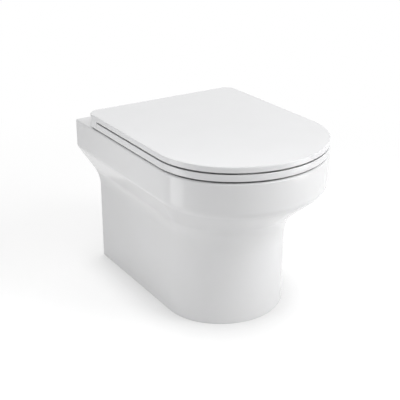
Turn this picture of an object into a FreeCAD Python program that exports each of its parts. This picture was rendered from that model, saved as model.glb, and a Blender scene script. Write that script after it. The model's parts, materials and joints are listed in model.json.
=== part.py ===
import FreeCAD, Part
import math
import os
import Sketcher
from types import SimpleNamespace

# Wall hung toilet with a soft-close seat. Millimetres, +Z up, wall face on y = 0, front towards -Y.
# The origin lies midway between the two wall stud holes, on the wall face.

Vector = FreeCAD.Vector
Rotation = FreeCAD.Rotation

SIZES = {
    "rim_width": 360,
    "pan_length": 508.5,
    "rim_nose_ratio": 0.903,
    "rim_corner_ratio": 0.848,
    "foot_width": 257,
    "nose_overhang": 90.5,
    "foot_nose_ratio": 0.951,
    "foot_corner_ratio": 0.9185,
    "deck_rise": 85,
    "side_waist_height": 198.8,
    "side_band_height": 59.7,
    "side_waist_round": 82,
    "nose_waist_height": 189.8,
    "nose_band_height": 65.2,
    "nose_waist_round": 102,
    "band_round": 20.3,
    "rim_round": 4,
    "pan_wall": 11,
    "deck_thickness": 16,
    "bulkhead_thickness": 20,
    "bulkhead_depth": 112,
    "mouth_width_ratio": 0.8508,
    "mouth_land": 49,
    "mouth_back": 168,
    "mouth_round": 6,
    "belly_height": 215,
    "belly_width_ratio": 0.7136,
    "belly_front_ratio": 0.824,
    "belly_back_ratio": 0.028,
    "water_height": 127,
    "water_width_ratio": 0.494,
    "water_front_ratio": 0.641,
    "water_back_ratio": 0.049,
    "sump_height": 22,
    "sump_width": 60,
    "sump_length": 72,
    "sump_middle_ratio": 0.2995,
    "oval_ratio": 0.88,
    "shelf_height": 30,
    "shelf_depth": 10,
    "trap_bore": 54,
    "trap_leg_height": 50,
    "trap_low_turn": 190,
    "trap_high_turn": 85,
    "trap_bend": 42,
    "outlet_drop": 100,
    "outlet_diameter": 102,
    "outlet_bore": 84,
    "outlet_length": 50,
    "outlet_setback": 3,
    "outlet_taper": 30,
    "inlet_rise": 35,
    "inlet_bore": 55,
    "inlet_depth": 50,
    "passage_bore": 42,
    "passage_reach": 14,
    "stud_height": 252,
    "stud_spacing": 180,
    "stud_hole_diameter": 22,
    "stud_bore_diameter": 13,
    "sleeve_flange_diameter": 30,
    "sleeve_flange_thickness": 3,
    "pipe_diameter": 45,
    "seal_length": 36,
    "hinge_spacing": 155,
    "hinge_setback": 64.5,
    "hinge_rise": 14,
    "hinge_hole_diameter": 14,
    "post_offset": 6.5,
    "post_flange_diameter": 28,
    "post_flange_thickness": 3,
    "gasket_thickness": 1,
    "post_length": 19,
    "post_barrel_diameter": 18,
    "knuckle_diameter": 17,
    "knuckle_gap": 0.6,
    "ring_knuckle_length": 23,
    "lid_knuckle_length": 26,
    "bush_diameter": 13,
    "bush_inset": 1.5,
    "pin_diameter": 8,
    "pin_inset": 3,
    "running_gap": 0.05,
    "tool_overrun": 1,
    "post_stud_diameter": 8,
    "post_stud_grip": 4,
    "post_stud_length": 58,
    "grommet_diameter": 24,
    "grommet_height": 8,
    "washer_diameter": 28,
    "washer_thickness": 3,
    "nut_diameter": 16,
    "nut_height": 12,
    "wing_span": 38,
    "wing_thickness": 4,
    "wing_drop": 2,
    "ring_gap": 4.2,
    "ring_thickness": 13,
    "ring_round": 1.2,
    "ring_hole_width_ratio": 0.8437,
    "ring_hole_land": 63,
    "ring_hole_back": 180,
    "ring_hole_round": 6,
    "seam_setback": 94,
    "seam_lean": 4,
    "seam_gap": 1,
    "lid_gap": 3.3,
    "lid_skirt": 11,
    "lid_plate": 7.8,
    "lid_wall": 6,
    "lid_setback": 53,
    "lid_back_wall": 4.5,
    "lid_ear_drop": 9.5,
    "lid_ear_round": 5,
    "lid_corner": 24,
    "lid_edge_round": 2,
    "notch_clearance": 2,
    "buffer_width": 12,
    "buffer_length": 30,
    "buffer_gap": 0.2,
    "ring_buffer_rear_inset": 30,
    "ring_buffer_rear_setback": 215,
    "ring_buffer_front_inset": 52,
    "ring_buffer_front_land": 106,
    "lid_buffer_rear_inset": 34,
    "lid_buffer_rear_setback": 250,
    "lid_buffer_front_inset": 58,
    "lid_buffer_front_land": 100,
}


class Term:
    """A number together with the sheet expression that gives it."""

    def __init__(self, value, text):
        self.value = float(value)
        self.text = text

    def join(self, other, sign, value):
        text = other.text if isinstance(other, Term) else repr(float(other))
        return Term(value, f"({self.text} {sign} {text})")

    def __float__(self):
        return self.value

    def __add__(self, other):
        return self.join(other, "+", self.value + float(other))

    def __sub__(self, other):
        return self.join(other, "-", self.value - float(other))

    def __mul__(self, other):
        return self.join(other, "*", self.value * float(other))

    def __truediv__(self, other):
        return self.join(other, "/", self.value / float(other))

    def __neg__(self):
        return Term(-self.value, f"(0 - {self.text})")


doc = FreeCAD.newDocument("WallHungToilet")
sheet = doc.addObject("Spreadsheet::Sheet", "Sizes")
for row, (name, number) in enumerate(SIZES.items(), start=1):
    sheet.set(f"A{row}", name.replace("_", " "))
    sheet.set(f"B{row}", str(number))
    sheet.setAlias(f"B{row}", name)
doc.recompute()
d = SimpleNamespace(**{name: Term(number, f"Sizes.{name}") for name, number in SIZES.items()})
ZERO = Term(0, "0")


def bind(thing, **terms):
    """Tie properties of an object to the sheet."""
    for name, term in terms.items():
        thing.setExpression(name, term.text)


def place(thing, x=ZERO, y=ZERO, z=ZERO, rotation=None):
    """Put an object at a point tied to the sheet, turned by a fixed rotation."""
    if rotation is not None:
        thing.Placement = FreeCAD.Placement(Vector(0, 0, 0), rotation)
    for axis, term in (("x", x), ("y", y), ("z", z)):
        thing.setExpression(f"Placement.Base.{axis}", term.text)
    return thing


def box(name, x0, x1, y0, y1, z0, z1):
    solid = doc.addObject("Part::Box", name)
    bind(solid, Length=x1 - x0, Width=y1 - y0, Height=z1 - z0)
    return place(solid, x0, y0, z0)


TURN = {
    "x": Rotation(Vector(0, 1, 0), 90),
    "y": Rotation(Vector(1, 0, 0), -90),
    "z": Rotation(),
}


def rod(name, radius, length, axis, x=ZERO, y=ZERO, z=ZERO):
    """A cylinder that starts at a point and runs along +X, +Y or +Z."""
    solid = doc.addObject("Part::Cylinder", name)
    bind(solid, Radius=radius, Height=length)
    return place(solid, x, y, z, TURN[axis])


def cone(name, radius1, radius2, length, axis, x=ZERO, y=ZERO, z=ZERO):
    solid = doc.addObject("Part::Cone", name)
    bind(solid, Radius1=radius1, Radius2=radius2, Height=length)
    return place(solid, x, y, z, TURN[axis])


def fuse(name, *solids):
    joined = doc.addObject("Part::MultiFuse", name)
    joined.Shapes = list(solids)
    joined.Refine = True
    return joined


def cut(name, base, *tools):
    tool = tools[0] if len(tools) == 1 else fuse(name + "Tools", *tools)
    result = doc.addObject("Part::Cut", name)
    result.Base = base
    result.Tool = tool
    result.Refine = True
    return result


def common(name, *solids):
    result = doc.addObject("Part::MultiCommon", name)
    result.Shapes = list(solids)
    result.Refine = True
    return result


def group(name, *solids):
    """Several separate solids of one node."""
    bundle = doc.addObject("Part::Compound", name)
    bundle.Links = list(solids)
    return bundle


def mirrored(name, source):
    """The same piece on the other side of the middle plane."""
    twin = doc.addObject("Part::Mirroring", name)
    twin.Source = source
    twin.Base = Vector(0, 0, 0)
    twin.Normal = Vector(1, 0, 0)
    return twin


def new_body(name):
    return doc.addObject("PartDesign::Body", name)


def new_sketch(body, name, role, offset=ZERO):
    """A sketch on one of the body's own planes, lifted off it by an offset tied to the sheet."""
    sketch = body.newObject("Sketcher::SketchObject", name)
    plane = next(feature for feature in body.Origin.OriginFeatures if feature.Role == role)
    sketch.AttachmentSupport = [(plane, "")]
    sketch.MapMode = "FlatFace"
    sketch.setExpression("AttachmentOffset.Base.z", offset.text)
    return sketch


def measure(sketch, kind, *args):
    """Add a dimension whose value comes from the sheet; the last argument is its term."""
    index = sketch.addConstraint(Sketcher.Constraint(kind, *args[:-1], float(args[-1])))
    sketch.setExpression(f"Constraints[{index}]", args[-1].text)


def outline(body, name, half, back, length, nose_ratio, corner_ratio, z):
    """D-shaped plan: straight back and sides, two corner arcs and a nose arc."""
    nose = half * nose_ratio
    corner = half * corner_ratio
    side = length - nose
    shift = ((half - corner) * (half - corner) - (nose - corner) * (nose - corner)) / (nose - corner) / 2
    bow = nose + shift
    a, b, r = float(half), -float(back), float(corner)
    y = -float(side)
    centre = y + float(shift)
    angle = math.atan2(y - centre, a - r)
    line, circle, up = Part.LineSegment, Part.Circle, Vector(0, 0, 1)
    sketch = new_sketch(body, name, "XY_Plane", z)
    sketch.addGeometry([
        line(Vector(-a, b, 0), Vector(a, b, 0)),
        line(Vector(a, b, 0), Vector(a, y, 0)),
        Part.ArcOfCircle(circle(Vector(a - r, y, 0), up, r), angle, 0),
        Part.ArcOfCircle(circle(Vector(0, centre, 0), up, float(bow)), math.pi - angle, 2 * math.pi + angle),
        Part.ArcOfCircle(circle(Vector(r - a, y, 0), up, r), math.pi, math.pi - angle),
        line(Vector(-a, y, 0), Vector(-a, b, 0)),
    ])
    rule = Sketcher.Constraint
    sketch.addConstraint([
        rule("Vertical", 1), rule("Vertical", 5),
        rule("Coincident", 0, 2, 1, 1), rule("Coincident", 5, 2, 0, 1),
        rule("Tangent", 1, 2, 2, 2), rule("Tangent", 2, 1, 3, 2),
        rule("Tangent", 3, 1, 4, 2), rule("Tangent", 4, 1, 5, 1),
        rule("Symmetric", 0, 1, 0, 2, -2), rule("Equal", 2, 4), rule("Horizontal", 1, 2, 5, 1),
    ])
    measure(sketch, "DistanceX", -1, 1, 0, 2, half)
    measure(sketch, "DistanceY", 0, 2, -1, 1, back)
    measure(sketch, "DistanceY", 1, 2, -1, 1, side)
    measure(sketch, "Radius", 2, corner)
    measure(sketch, "Radius", 3, bow)
    return sketch


def oval(body, name, half, front, back, z):
    """Four-arc oval across the middle plane, given by half width and its front and back ends."""
    reach = (front - back) / 2
    end = half * d.oval_ratio
    flank = (half * half + (reach - end) * (reach - end) - end * end) / (half - end) / 2
    w, r, big = float(half), float(end), float(flank)
    mid = -float(front + back) / 2
    ahead, behind = -float(front) + r, -float(back) - r
    angle = math.atan2(behind - mid, big - w)
    circle, up = Part.Circle, Vector(0, 0, 1)
    sketch = new_sketch(body, name, "XY_Plane", z)
    sketch.addGeometry([
        Part.ArcOfCircle(circle(Vector(w - big, mid, 0), up, big), -angle, angle),
        Part.ArcOfCircle(circle(Vector(0, behind, 0), up, r), angle, math.pi - angle),
        Part.ArcOfCircle(circle(Vector(big - w, mid, 0), up, big), math.pi - angle, math.pi + angle),
        Part.ArcOfCircle(circle(Vector(0, ahead, 0), up, r), math.pi + angle, 2 * math.pi - angle),
    ])
    rule = Sketcher.Constraint
    sketch.addConstraint([
        rule("Tangent", 0, 2, 1, 1), rule("Tangent", 1, 2, 2, 1),
        rule("Tangent", 2, 2, 3, 1), rule("Tangent", 3, 2, 0, 1),
        rule("PointOnObject", 1, 3, -2), rule("PointOnObject", 3, 3, -2),
        rule("Equal", 1, 3), rule("Equal", 0, 2),
    ])
    measure(sketch, "DistanceY", 1, 3, -1, 1, back + end)
    measure(sketch, "DistanceY", 3, 3, -1, 1, front - end)
    measure(sketch, "Radius", 1, end)
    measure(sketch, "Radius", 0, flank)
    return sketch


def side_profile(body, name, points):
    """Closed polygon on the YZ plane; each corner is a pair of terms."""
    corners = [Vector(float(y), float(z), 0) for y, z in points]
    count = len(corners)
    sketch = new_sketch(body, name, "YZ_Plane")
    sketch.addGeometry([Part.LineSegment(corners[i], corners[(i + 1) % count]) for i in range(count)])
    for i in range(count):
        sketch.addConstraint(Sketcher.Constraint("Coincident", i, 2, (i + 1) % count, 1))
    for i, (y, z) in enumerate(points):
        measure(sketch, "DistanceX", -1, 1, i, 1, y)
        measure(sketch, "DistanceY", -1, 1, i, 1, z)
    return sketch


def pad(body, name, sketch, length, middle=False):
    feature = body.newObject("PartDesign::Pad", name)
    feature.Profile = sketch
    feature.Midplane = middle
    bind(feature, Length=length)
    doc.recompute()
    return feature


def pocket(body, name, sketch, depth):
    doc.recompute()
    feature = body.newObject("PartDesign::Pocket", name)
    feature.Profile = sketch
    bind(feature, Length=depth)
    doc.recompute()
    return feature


def loft(body, name, sketches, ruled):
    feature = body.newObject("PartDesign::AdditiveLoft", name)
    feature.Profile = sketches[0]
    feature.Sections = sketches[1:]
    feature.Ruled = ruled
    doc.recompute()
    return feature


def round_edges(body, name, radius, wanted):
    """Round the edges of the body's last feature whose box satisfies a test."""
    base = body.Tip
    names = [f"Edge{i}" for i, edge in enumerate(base.Shape.Edges, start=1) if wanted(edge.BoundBox)]
    feature = body.newObject("PartDesign::Fillet", name)
    feature.Base = (base, names)
    bind(feature, Radius=radius)
    doc.recompute()
    return feature


NEAR = 0.1


def level(z):
    """Test for edges that lie flat at one height."""
    return lambda b: abs(b.ZMin - float(z)) < NEAR and abs(b.ZMax - float(z)) < NEAR


def flat_front(z):
    """Test for edges at one height that are not behind the wall face."""
    return lambda b: level(z)(b) and b.YMin < -NEAR


def upright_at(y):
    """Test for upright edges at one distance from the wall."""
    return lambda b: b.ZLength > b.YLength + NEAR and b.YLength < NEAR and abs(b.YMax - float(y)) < NEAR


def within(b, front, back):
    """Test for edges that lie between two distances from the wall."""
    return b.YMin > -float(front) - NEAR and b.YMax < -float(back) + NEAR


# Heights every piece refers to.
under = -d.stud_height
deck = d.deck_rise
pan_height = d.stud_height + d.deck_rise
rim_half = d.rim_width / 2
foot_half = d.foot_width / 2
axis_y = -d.hinge_setback
axis_z = deck + d.hinge_rise
over = d.tool_overrun

# Outer form of the pan: straight foot, rounded waist that flares out, straight rim band.
# The waist sits lower at the nose than at the sides.
foot_length = d.pan_length - d.nose_overhang


def blend(side, nose):
    """Plan sizes part of the way from the foot (0) to the rim (1), sideways and at the nose."""
    def mix(low, high, share):
        return low + (high - low) * share
    return (mix(foot_half, rim_half, side), -over, mix(foot_length, d.pan_length, nose),
            mix(d.foot_nose_ratio, d.rim_nose_ratio, side),
            mix(d.foot_corner_ratio, d.rim_corner_ratio, side))


class Flare:
    """Upright profile of the flare: a waist arc, a straight slope and a band arc."""

    def __init__(self, waist, band, waist_round, reach):
        self.waist, self.band, self.reach = float(waist), float(band), float(reach)
        self.waist_round, self.band_round = float(waist_round), float(d.band_round)
        self.lean = math.atan2(self.reach, self.band - self.waist)
        self.low = self.waist - self.waist_round * math.tan(self.lean / 2)
        self.high = self.band + self.band_round * math.tan(self.lean / 2)
        self.band_start = self.high - self.band_round * math.sin(self.lean)

    def share(self, height):
        """How far out the wall stands at a height: 0 on the foot, 1 on the band."""
        rise = min(max(height - self.low, 0), self.high - self.low)
        drop = self.high - self.low - rise
        if rise < self.waist_round * math.sin(self.lean):
            return (self.waist_round - math.sqrt(self.waist_round ** 2 - rise ** 2)) / self.reach
        if drop < self.band_round * math.sin(self.lean):
            return 1 - (self.band_round - math.sqrt(self.band_round ** 2 - drop ** 2)) / self.reach
        return (height - self.waist) / (self.band - self.waist)


def spread(low, high, count):
    """Even heights from low up to, but not including, high."""
    return [low + (high - low) * i / count for i in range(count)]


side_flare = Flare(d.side_waist_height, pan_height - d.side_band_height,
                   d.side_waist_round, rim_half - foot_half)
nose_flare = Flare(d.nose_waist_height, pan_height - d.nose_band_height,
                   d.nose_waist_round, d.nose_overhang)
flare_low = min(side_flare.low, nose_flare.low)
flare_bend = min(side_flare.band_start, nose_flare.band_start)
flare_high = max(side_flare.high, nose_flare.high)
heights = spread(flare_low, flare_bend, 10) + spread(flare_bend, flare_high, 5) + [flare_high]

pan_outer = new_body("PanOuter")
pad(pan_outer, "Foot", outline(pan_outer, "FootPlan", *blend(0, 0), under), ZERO + flare_low)
flare_plans = []
for i, height in enumerate(heights):
    plan = blend(side_flare.share(height), nose_flare.share(height))
    flare_plans.append(outline(pan_outer, f"FlarePlan{i}", *plan, under + height))
loft(pan_outer, "Flare", flare_plans, False)
pad(pan_outer, "Band", outline(pan_outer, "BandPlan", *blend(1, 1), under + flare_high),
    pan_height - flare_high)
round_edges(pan_outer, "RimRound", d.rim_round, flat_front(deck))

# The fired pan is one piece; it is kept as ten touching nodes so that each is a simple form.
# Shell: the wall between the outer form and the hollow, open below, at the back and at the top.
deck_under = deck - d.deck_thickness
foot_core = (foot_half - d.pan_wall, -over, foot_length - d.pan_wall, d.foot_nose_ratio, d.foot_corner_ratio)
rim_core = (rim_half - d.pan_wall, -over, d.pan_length - d.pan_wall, d.rim_nose_ratio, d.rim_corner_ratio)
core = new_body("PanCore")
loft(core, "Hollow", [
    outline(core, "CoreBottom", *foot_core, under - over),
    outline(core, "CoreWaist", *foot_core, under + d.side_waist_height),
    outline(core, "CoreBand", *rim_core, deck - d.side_band_height),
    outline(core, "CoreTop", *rim_core, deck + over),
], True)
behind_wall = box("BehindWall", -rim_half - over, rim_half + over, ZERO, over * 2, under - over, deck + over)
pan_shell = cut("PanShell", pan_outer, core, behind_wall)
below_deck = box("BelowDeck", -rim_half, rim_half, -d.pan_length, ZERO, under - over, deck_under)
hollow = common("PanHollow", core, below_deck)

# Bowl: the same four ovals make the inside and, grown by the wall, the outside. A collar under the
# deck holds the flush shelf, which is set back behind the mouth in place of a hollow rim.
mouth_front = d.pan_length - d.mouth_land
bowl_length = mouth_front - d.mouth_back
mouth_width = bowl_length * d.mouth_width_ratio


def along(ratio):
    """Distance from the wall, part of the way from the back of the bowl mouth to its front."""
    return d.mouth_back + bowl_length * ratio


sump_middle = along(d.sump_middle_ratio)


def bowl(name, grow):
    body = new_body(name)
    rows = [
        (mouth_width, mouth_front, d.mouth_back, deck_under),
        (bowl_length * d.belly_width_ratio, along(d.belly_front_ratio), along(d.belly_back_ratio),
         under + d.belly_height),
        (bowl_length * d.water_width_ratio, along(d.water_front_ratio), along(d.water_back_ratio),
         under + d.water_height),
        (d.sump_width, sump_middle + d.sump_length / 2, sump_middle - d.sump_length / 2,
         under + d.sump_height - grow),
    ]
    ovals = [oval(body, f"{name}Oval{i}", width / 2 + grow, front + grow, back - grow, z)
             for i, (width, front, back, z) in enumerate(rows)]
    loft(body, name + "Skin", ovals, False)
    return body


def mouth_oval(name, grow, low, high):
    """Upright prism over the bowl mouth, grown sideways."""
    body = new_body(name)
    plan = oval(body, name + "Plan", mouth_width / 2 + grow, mouth_front + grow, d.mouth_back - grow, low)
    pad(body, name + "Pad", plan, high - low)
    return body


shelf = deck_under - d.shelf_height
bowl_outer = bowl("BowlOuter", d.pan_wall)
bowl_inner = bowl("BowlInner", ZERO)
shelf_outer = mouth_oval("ShelfOuter", d.shelf_depth + d.pan_wall, shelf - d.pan_wall, deck_under)
shelf_inner = mouth_oval("ShelfInner", d.shelf_depth, shelf, deck_under)
bowl_form = fuse("BowlForm", bowl_outer, shelf_outer)

# Trapway: level leg out of the sump, rising leg over the weir, level leg to the outlet.
trap_low = under + d.trap_leg_height
outlet_z = -d.outlet_drop
outlet_front = -d.outlet_setback - d.outlet_length


def trap(name, radius):
    body = new_body(name)
    bend = float(d.trap_bend)
    z1, z2 = float(trap_low), float(outlet_z)
    y0, y1, y2, y3 = (-float(t) for t in (sump_middle, d.trap_low_turn, d.trap_high_turn, d.outlet_setback))
    span, lift = y2 - y1, 2 * bend - (z2 - z1)
    lean = math.atan2(span, lift) - math.acos(2 * bend / math.hypot(span, lift))
    sin, cos = math.sin(lean), math.cos(lean)
    low_end = Vector(y1 + bend * sin, z1 + bend * (1 - cos), 0)
    high_end = Vector(y2 - bend * sin, z2 - bend * (1 - cos), 0)
    up = Vector(0, 0, 1)
    path = new_sketch(body, name + "Path", "YZ_Plane")
    path.addGeometry([
        Part.LineSegment(Vector(y0, z1, 0), Vector(y1, z1, 0)),
        Part.ArcOfCircle(Part.Circle(Vector(y1, z1 + bend, 0), up, bend), -math.pi / 2, lean - math.pi / 2),
        Part.LineSegment(low_end, high_end),
        Part.ArcOfCircle(Part.Circle(Vector(y2, z2 - bend, 0), up, bend), math.pi / 2, math.pi / 2 + lean),
        Part.LineSegment(Vector(y2, z2, 0), Vector(y3, z2, 0)),
    ])
    rule = Sketcher.Constraint
    path.addConstraint([
        rule("Horizontal", 0), rule("Horizontal", 4), rule("Equal", 1, 3),
        rule("Tangent", 0, 2, 1, 1), rule("Tangent", 1, 2, 2, 1),
        rule("Tangent", 2, 2, 3, 2), rule("Tangent", 3, 1, 4, 1),
    ])
    measure(path, "DistanceX", 0, 1, -1, 1, sump_middle)
    measure(path, "DistanceX", 0, 2, -1, 1, d.trap_low_turn)
    measure(path, "DistanceX", 4, 1, -1, 1, d.trap_high_turn)
    measure(path, "DistanceX", 4, 2, -1, 1, d.outlet_setback)
    measure(path, "DistanceY", 0, 1, -1, 1, -trap_low)
    measure(path, "DistanceY", 4, 2, -1, 1, -outlet_z)
    measure(path, "Radius", 1, d.trap_bend)
    ring = new_sketch(body, name + "Ring", "XZ_Plane", sump_middle)
    ring.addGeometry(Part.Circle(Vector(0, z1, 0), up, float(radius)))
    ring.addConstraint(rule("PointOnObject", 0, 3, -2))
    measure(ring, "DistanceY", 0, 3, -1, 1, -trap_low)
    measure(ring, "Radius", 0, radius)
    doc.recompute()
    pipe = body.newObject("PartDesign::AdditivePipe", name + "Pipe")
    pipe.Profile = ring
    pipe.Spine = (path, [])
    doc.recompute()
    return body


trap_outer = trap("TrapOuter", d.trap_bore / 2 + d.pan_wall)
trap_inner = trap("TrapInner", d.trap_bore / 2)
outlet_bore = rod("OutletBore", d.outlet_bore / 2, d.outlet_length + over, "y", ZERO, outlet_front, outlet_z)
outlet_taper = cone("OutletTaper", d.trap_bore / 2, d.outlet_bore / 2, d.outlet_taper,
                    "y", ZERO, outlet_front - d.outlet_taper, outlet_z)
spigot = rod("Spigot", d.outlet_diameter / 2, d.outlet_length, "y", ZERO, outlet_front, outlet_z)
spigot_taper = cone("SpigotTaper", d.trap_bore / 2 + d.pan_wall, d.outlet_diameter / 2, d.outlet_taper,
                    "y", ZERO, outlet_front - d.outlet_taper, outlet_z)
doc.recompute()
pan_outlet = cut("PanOutlet", spigot, outlet_bore)
pan_trapway = cut("PanTrapway", fuse("TrapForm", trap_outer, spigot_taper),
                  bowl_form, trap_inner, outlet_taper, outlet_bore)

# Flush inlet: socket for the pipe seal and a narrower passage that opens behind the shelf.
socket_depth = d.inlet_depth + d.pan_wall
inlet_boss = rod("InletBoss", d.inlet_bore / 2 + d.pan_wall, socket_depth - d.bulkhead_thickness, "y",
                 ZERO, -socket_depth, d.inlet_rise)
passage_boss = rod("PassageBoss", d.passage_bore / 2 + d.pan_wall, d.mouth_back - d.inlet_depth, "y",
                   ZERO, -d.mouth_back, d.inlet_rise)
inlet_socket = rod("InletSocket", d.inlet_bore / 2, d.inlet_depth + over, "y",
                   ZERO, -d.inlet_depth, d.inlet_rise)
passage_end = d.mouth_back + d.passage_reach
passage = rod("Passage", d.passage_bore / 2, passage_end, "y", ZERO, -passage_end, d.inlet_rise)
pan_inlet = cut("PanInlet", common("InletForm", hollow, fuse("InletBosses", inlet_boss, passage_boss)),
                bowl_form, inlet_socket, passage)
bowl_walls = cut("BowlWalls", common("BowlInHollow", hollow, bowl_form),
                 bowl_inner, shelf_inner, trap_inner, passage)


def bowl_band(name, low, high):
    """The part of the bowl walls between two heights."""
    slice_box = box(name + "Slice", -rim_half, rim_half, -d.pan_length, ZERO, low, high)
    return common(name, bowl_walls, slice_box)


water_z = under + d.water_height
pan_collar = bowl_band("PanCollar", d.inlet_rise, deck_under)
pan_bowl = bowl_band("PanBowl", water_z, d.inlet_rise)
pan_throat = bowl_band("PanThroat", trap_low, water_z)
pan_sump = bowl_band("PanSump", under, trap_low)

# Bulkhead that carries the studs, and the deck with the bowl mouth and the two hinge holes.
hinge_x = d.hinge_spacing / 2
post_y = axis_y - d.post_offset
stud_x = d.stud_spacing / 2
stud_holes = [rod(f"StudHole{side}", d.stud_hole_diameter / 2, d.bulkhead_thickness + over * 2, "y",
                  x, -d.bulkhead_thickness - over, ZERO)
              for side, x in (("Left", -stud_x), ("Right", stud_x))]
hinge_holes = [rod(f"HingeHole{side}", d.hinge_hole_diameter / 2, d.deck_thickness + over * 2, "z",
                   x, post_y, deck_under - over)
               for side, x in (("Left", -hinge_x), ("Right", hinge_x))]
bulkhead_box = box("BulkheadBox", -rim_half, rim_half, -d.bulkhead_thickness, ZERO,
                   deck - d.bulkhead_depth, deck_under)
pan_bulkhead = cut("PanBulkhead", common("BulkheadForm", hollow, bulkhead_box), inlet_socket, *stud_holes)

deck_plate = new_body("DeckPlate")
deck_plan = (rim_half - d.pan_wall, ZERO, d.pan_length - d.pan_wall, d.rim_nose_ratio, d.rim_corner_ratio)
pad(deck_plate, "DeckPad", outline(deck_plate, "DeckPlan", *deck_plan, deck_under), d.deck_thickness)
pocket(deck_plate, "Mouth", oval(deck_plate, "MouthPlan", mouth_width / 2, mouth_front, d.mouth_back, deck),
       d.deck_thickness)
round_edges(deck_plate, "MouthRound", d.mouth_round,
            lambda b: level(deck)(b) and within(b, mouth_front, d.mouth_back))
pan_deck = cut("PanDeck", deck_plate, *hinge_holes)

# Hinge posts: disc on a gasket, pillar and barrel around the hinge pin; a stud below clamps each one.
disc_low = deck + d.gasket_thickness
disc_top = disc_low + d.post_flange_thickness
barrel = d.post_barrel_diameter / 2
post_half = d.post_length / 2
grommet_low = deck_under - d.washer_thickness
washer_low = grommet_low - d.washer_thickness
nut_low = washer_low - d.nut_height
stud_top = disc_low + d.post_stud_grip


def hinge_side(side, x):
    """Everything that stands on or hangs from the deck at one hinge hole."""
    def upright(name, radius, length, z):
        return rod(f"{side}{name}", radius, length, "z", x, post_y, z)

    stud_radius = d.post_stud_diameter / 2
    bore = stud_radius + d.running_gap
    hole = d.hinge_hole_diameter / 2
    disc = upright("Disc", d.post_flange_diameter / 2, d.post_flange_thickness, disc_low)
    pillar = box(f"{side}Pillar", x - post_half, x + post_half, axis_y - barrel, axis_y + d.post_offset,
                 disc_low, axis_z)
    barrel_rod = rod(f"{side}Barrel", barrel, d.post_length, "x", x - post_half, axis_y, axis_z)
    pin_bore = rod(f"{side}PinBore", d.pin_diameter / 2 + d.running_gap, d.post_length + over * 2, "x",
                   x - post_half - over, axis_y, axis_z)
    stud_bore = upright("StudBore", bore, d.post_stud_grip + over, disc_low - over)
    post = cut(f"{side}Post", fuse(f"{side}PostForm", disc, pillar, barrel_rod), pin_bore, stud_bore)
    gasket = cut(f"{side}Gasket",
                 upright("GasketDisc", d.post_flange_diameter / 2, d.gasket_thickness, deck),
                 upright("GasketHole", hole, d.gasket_thickness, deck))
    stud = upright("Stud", stud_radius, d.post_stud_length, stud_top - d.post_stud_length)
    grommet_form = fuse(f"{side}GrommetForm",
                        upright("GrommetRim", d.grommet_diameter / 2, d.washer_thickness, grommet_low),
                        upright("GrommetPlug", hole - d.running_gap, d.grommet_height, deck_under))
    grommet = cut(f"{side}Grommet", grommet_form,
                  upright("GrommetBore", bore, d.grommet_height + d.washer_thickness, grommet_low))
    washer = cut(f"{side}Washer",
                 upright("WasherDisc", d.washer_diameter / 2, d.washer_thickness, washer_low),
                 upright("WasherBore", bore, d.washer_thickness, washer_low))
    wings = box(f"{side}Wings", x - d.wing_span / 2, x + d.wing_span / 2,
                post_y - d.wing_thickness / 2, post_y + d.wing_thickness / 2,
                nut_low, washer_low - d.wing_drop)
    nut_core = upright("NutCore", d.nut_diameter / 2, d.nut_height, nut_low)
    nut = cut(f"{side}Nut", fuse(f"{side}NutForm", nut_core, wings),
              upright("NutBore", bore, d.nut_height, nut_low))
    return post, gasket, stud, grommet, washer, nut


left_post, left_gasket, left_stud, left_grommet, left_washer, left_nut = hinge_side("Left", -hinge_x)
right_post, right_gasket, right_stud, right_grommet, right_washer, right_nut = hinge_side("Right", hinge_x)
post_gaskets = group("PostGaskets", left_gasket, right_gasket)
hinge_studs = group("HingeStuds", left_stud, right_stud)
hole_grommets = group("HoleGrommets", left_grommet, right_grommet)
fixing_washers = group("FixingWashers", left_washer, right_washer)
wing_nuts = group("WingNuts", left_nut, right_nut)

# Along each pin, going outwards: ring knuckle, post, lid knuckle.
ring_knuckle_end = hinge_x - post_half - d.knuckle_gap
ring_knuckle_start = ring_knuckle_end - d.ring_knuckle_length
lid_knuckle_start = hinge_x + post_half + d.knuckle_gap
lid_knuckle_end = lid_knuckle_start + d.lid_knuckle_length
pin_start = ring_knuckle_start + d.pin_inset
pin_length = lid_knuckle_end - d.pin_inset - pin_start
right_pin = rod("RightPin", d.pin_diameter / 2, pin_length, "x", pin_start, axis_y, axis_z)
hinge_pins = group("HingePins", mirrored("LeftPin", right_pin), right_pin)

knuckle = d.knuckle_diameter / 2
bush = d.bush_diameter / 2


def bearing(name, start, length):
    """Sleeve that turns on a pin on the right-hand side."""
    sleeve = rod(f"{name}Sleeve", bush, length, "x", start, axis_y, axis_z)
    hole = rod(f"{name}Hole", d.pin_diameter / 2 + d.running_gap, length, "x", start, axis_y, axis_z)
    return cut(name, sleeve, hole)


ring_bush_length = d.ring_knuckle_length - d.bush_inset
lid_bush_length = d.lid_knuckle_length - d.bush_inset
ring_bush = bearing("RingBush", ring_knuckle_end - ring_bush_length, ring_bush_length)
ring_damper = mirrored("RingDamper", bearing("RingDamperRight", ring_knuckle_end - ring_bush_length,
                                               ring_bush_length))
lid_damper = bearing("LidDamper", lid_knuckle_start, lid_bush_length)
lid_bush = mirrored("LidBush", bearing("LidBushRight", lid_knuckle_start, lid_bush_length))

# Seat ring: rounded slab with an oval hole, cut off at the slanted seam, with two arms to the pins.
ring_low = deck + d.ring_gap
ring_top = ring_low + d.ring_thickness
seam_low = axis_z - d.lid_ear_drop
seam_high = ring_top + d.lid_gap
seam_y = -d.seam_setback
far_front = -d.pan_length - over

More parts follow.
